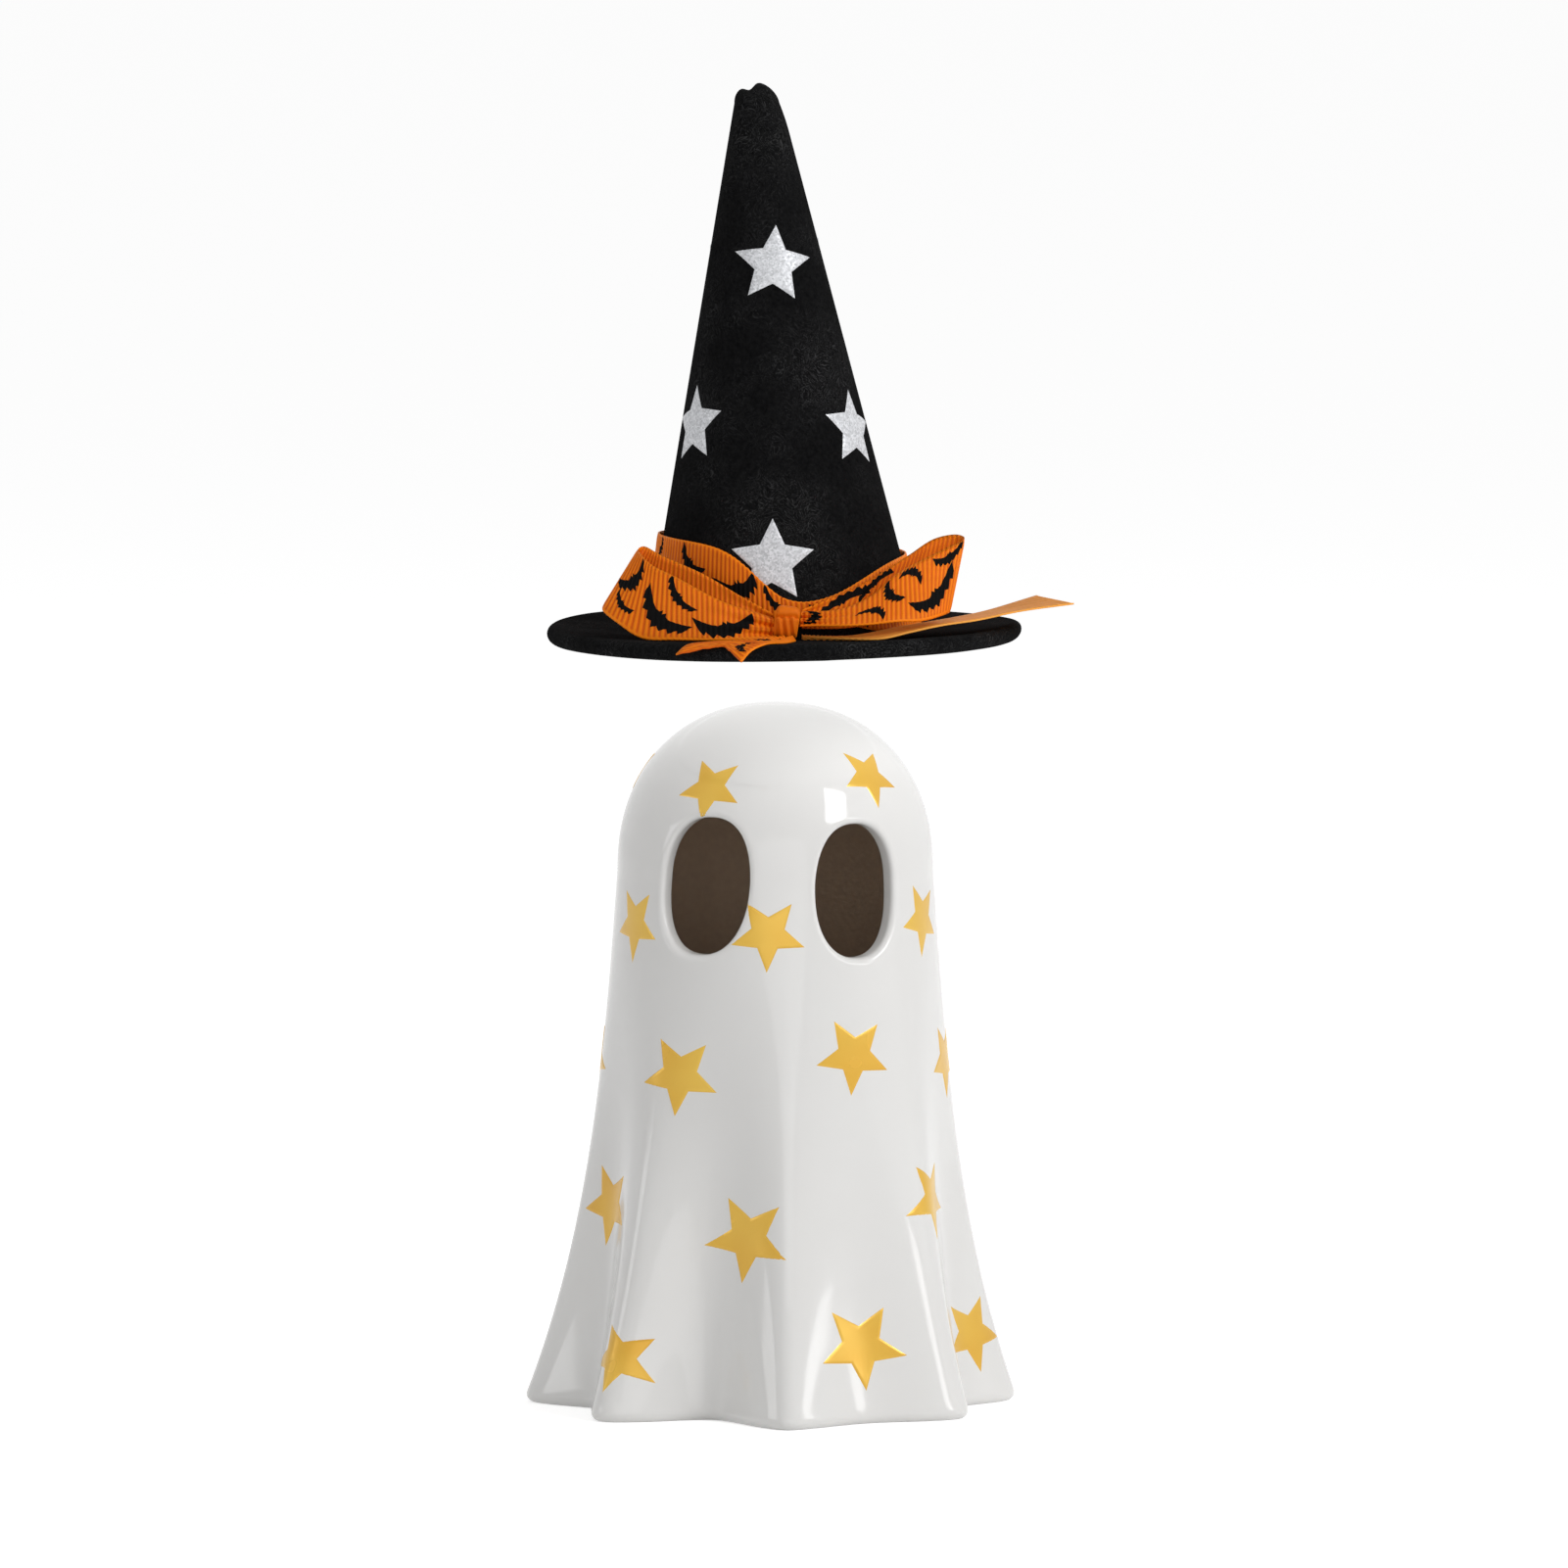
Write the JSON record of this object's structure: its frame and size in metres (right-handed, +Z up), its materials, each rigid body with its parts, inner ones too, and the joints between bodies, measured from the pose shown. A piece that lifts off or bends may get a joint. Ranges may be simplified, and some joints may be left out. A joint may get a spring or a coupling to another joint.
{
  "type": "light-up ghost",
  "caption": "Glazed ceramic sheet ghost with oval eye holes and a draped hem, a plug-in battery light underneath, and a lift-off felt witch hat with a ribbon bow.",
  "frame": {"origin": "on the table, under the middle of the whole object's outline", "axes": "+Z up, the ghost's face looks along -Y, +X to the right of a viewer who faces it"},
  "size_m": [0.1164, 0.1062, 0.2823],
  "materials": {
    "white_glaze": "gloss",
    "black_felt": "felted",
    "orange_ribbon": "ribbed grosgrain",
    "black_rubber": "matt",
    "white_plastic": "satin",
    "frosted_plastic": "frosted",
    "green_board": "solder mask",
    "cell_steel": "bright",
    "contact_steel": "plated",
    "black_plastic": "satin",
    "red_plastic": "gloss"
  },
  "bodies": {
    "ghost": {"ghost_shell": "white_glaze"},
    "hat": {"hat_cone": "black_felt", "hat_brim": "black_felt", "hat_band": "orange_ribbon", "bow_loop_left": "orange_ribbon", "bow_loop_right": "orange_ribbon", "bow_tail_left": "orange_ribbon", "bow_tail_right": "orange_ribbon", "bow_knot": "orange_ribbon"},
    "light_unit": {"grip_ring": "black_rubber", "unit_housing": "white_plastic", "unit_cover": "white_plastic", "diffuser_dome": "frosted_plastic", "led": "frosted_plastic", "circuit_board": "green_board", "cell_1": "cell_steel", "cell_2": "cell_steel", "cell_3": "cell_steel", "contact_spring": "contact_steel", "spring_plate": "contact_steel", "contact_plate": "contact_steel", "cover_screw_1": "contact_steel", "cover_screw_2": "contact_steel", "switch_frame": "contact_steel", "switch_lead_1": "red_plastic", "switch_lead_2": "black_plastic"},
    "door": {"battery_door": "white_plastic", "door_screw": "contact_steel"},
    "switch": {"switch_knob": "black_plastic"}
  },
  "joints": [
    {"name": "hat_lift", "type": "slide", "parent": "ghost", "child": "hat", "axis": [0.0776, 0, 0.997], "range_m": [-0.02447, 0]},
    {"name": "light_unit_pull", "type": "slide", "parent": "ghost", "child": "light_unit", "axis": [0, 0, -1], "range_m": [0, 0.04]},
    {"name": "battery_door_off", "type": "slide", "parent": "light_unit", "child": "door", "axis": [0, 0, -1], "range_m": [0, 0.01]},
    {"name": "switch_slide", "type": "slide", "parent": "light_unit", "child": "switch", "axis": [1, 0, 0], "range_m": [0, 0.003]}
  ]
}
